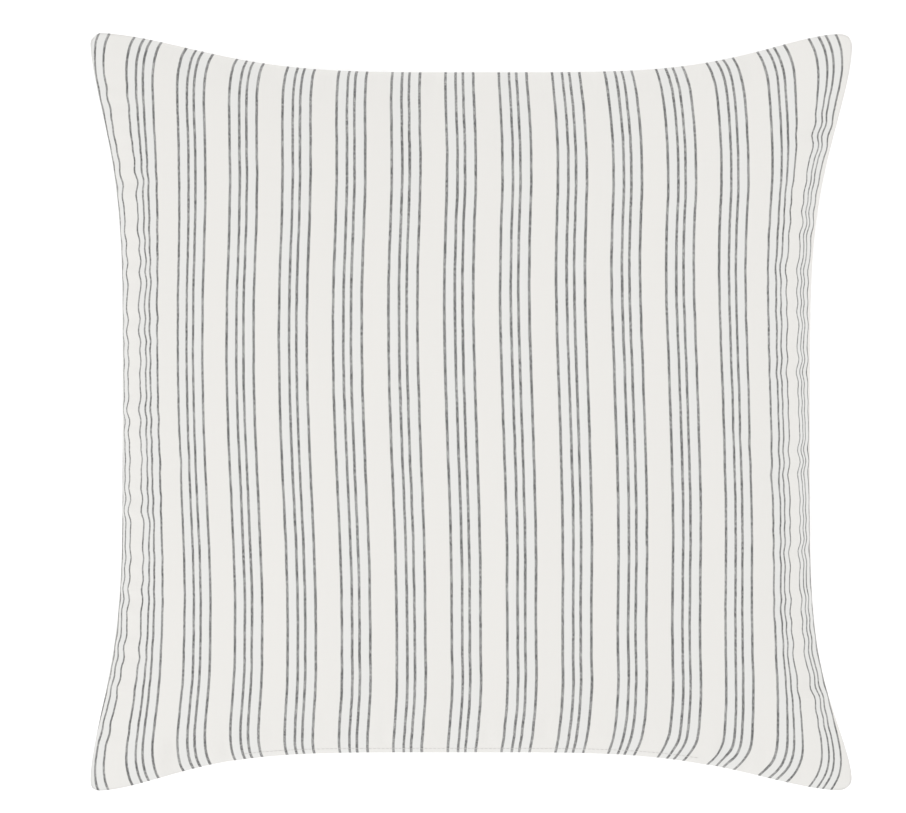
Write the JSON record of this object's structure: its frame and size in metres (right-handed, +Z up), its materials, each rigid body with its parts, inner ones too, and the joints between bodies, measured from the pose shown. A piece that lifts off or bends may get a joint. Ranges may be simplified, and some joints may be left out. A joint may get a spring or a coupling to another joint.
{
  "type": "throw pillow",
  "caption": "Square plump throw pillow: zipped striped canvas cover with knife edges over a sewn, filled insert.",
  "frame": {"origin": "on the floor under the middle of the pillow, at the centre of the flat patch it rests on", "axes": "+Z up out of the front face, +X along the zipped edge, +Y from the zipped edge to the edge opposite, so the stripes run along Y"},
  "size_m": [0.5006, 0.4976, 0.161],
  "materials": {
    "striped_canvas": "matte",
    "cover_thread": "matte",
    "label_ribbon": "satin",
    "zip_tape": "matte",
    "zip_coil": "satin",
    "zip_metal": "satin",
    "insert_cotton": "matte",
    "insert_thread": "matte",
    "fibre_fill": "matte"
  },
  "bodies": {
    "cover": {"cover_front_panel": "striped_canvas", "cover_back_panel": "striped_canvas", "cover_needle_thread": "cover_thread", "cover_bobbin_thread": "cover_thread", "cover_care_label": "label_ribbon", "zip_tape_front": "zip_tape", "zip_tape_back": "zip_tape", "zip_coil_front": "zip_coil", "zip_coil_back": "zip_coil", "zip_top_stops": "zip_metal", "zip_bottom_stop": "zip_metal", "insert_front_panel": "insert_cotton", "insert_back_panel": "insert_cotton", "insert_needle_thread": "insert_thread", "insert_bobbin_thread": "insert_thread", "insert_filling": "fibre_fill", "insert_blank_label": "label_ribbon"},
    "zip_slider": {"zip_slider_body": "zip_metal"},
    "zip_pull": {"zip_pull_tab": "zip_metal"}
  },
  "joints": [
    {"name": "zip_slide", "type": "slide", "parent": "cover", "child": "zip_slider", "axis": [-1, 0, 0], "range_m": [0, 0.251]},
    {"name": "pull_swing", "type": "hinge", "parent": "zip_slider", "child": "zip_pull", "pos_m": [0.1255, -0.22205, 0.075], "axis": [0, 0, 1], "range_deg": [0, 180]}
  ]
}
